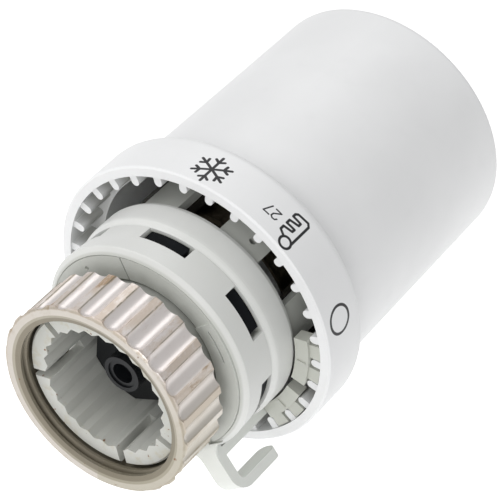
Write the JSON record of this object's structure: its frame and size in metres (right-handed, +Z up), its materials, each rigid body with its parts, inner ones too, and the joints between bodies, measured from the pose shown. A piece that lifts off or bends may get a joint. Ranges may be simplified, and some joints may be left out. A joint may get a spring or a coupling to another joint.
{
  "type": "thermostatic radiator valve head",
  "caption": "Thermostatic radiator valve head: a screw-on sensor head with a turning cap, threaded union nut, clamp collet, pointer hook and spring-loaded plunger.",
  "frame": {"origin": "on the turning axis, at the first full thread turn just inside the union nut's open face", "axes": "+X along the turning axis from the nut's mouth to the cap's closed end, +Z up, +Y completing a right-handed set"},
  "size_m": [0.0825, 0.0514, 0.0514],
  "materials": {
    "cap_white": "satin",
    "base_white": "satin",
    "collet_white": "worn satin",
    "pointer_offwhite": "satin",
    "clip_offwhite": "satin",
    "black_plastic": "matte",
    "inner_plastic": "matte",
    "nickel_plate": "tarnished nickel plate",
    "inner_brass": "satin",
    "bellows_bronze": "satin",
    "spring_steel": "bright"
  },
  "bodies": {
    "base": {"base_body": "base_white", "clamp_collet": "collet_white", "pointer_ring": "pointer_offwhite", "plunger_guide": "black_plastic", "return_spring": "spring_steel"},
    "handwheel": {"handwheel_cap": "cap_white", "limit_clip_min": "clip_offwhite", "limit_clip_max": "clip_offwhite", "spindle": "inner_brass", "spindle_pin": "spring_steel", "cap_retaining_clip": "spring_steel"},
    "carrier": {"sensor_carrier": "inner_plastic", "sensor_retaining_ring": "spring_steel", "overtravel_spring": "spring_steel"},
    "capsule": {"sensor_capsule": "inner_brass", "capsule_end_plate": "inner_brass", "sensor_bellows": "bellows_bronze", "spring_seat_washer": "spring_steel"},
    "plunger": {"plunger": "black_plastic", "pressure_pin": "spring_steel", "spring_collar": "black_plastic"},
    "nut_washer": {"nut_thrust_washer": "spring_steel"},
    "nut": {"union_nut": "nickel_plate"}
  },
  "joints": [
    {"name": "handwheel_turn", "type": "hinge", "parent": "base", "child": "handwheel", "pos_m": [0.05, 0, 0], "axis": [1, 0, 0], "range_deg": [-288, 0]},
    {"name": "carrier_travel", "type": "slide", "parent": "base", "child": "carrier", "axis": [1, 0, 0], "range_m": [-0.00402, 0.00002], "deforming": ["return_spring"]},
    {"name": "overtravel", "type": "slide", "parent": "carrier", "child": "capsule", "axis": [1, 0, 0], "range_m": [0, 0.0025], "stiffness_N_per_m": 4000, "deforming": ["overtravel_spring"]},
    {"name": "sensor_stroke", "type": "slide", "parent": "capsule", "child": "plunger", "axis": [1, 0, 0], "range_m": [-0.0012, 0.001], "stiffness_N_per_m": 2000, "deforming": ["sensor_bellows"]},
    {"name": "nut_slide", "type": "slide", "parent": "base", "child": "nut_washer", "axis": [1, 0, 0], "range_m": [-0.0011, 0.0016]},
    {"name": "nut_spin", "type": "hinge", "parent": "nut_washer", "child": "nut", "pos_m": [0.005, 0, 0], "axis": [1, 0, 0], "continuous": true}
  ],
  "couplings": [
    {"joint": "carrier_travel", "follows": "handwheel_turn", "m_per_rad": 0.00079577}
  ]
}
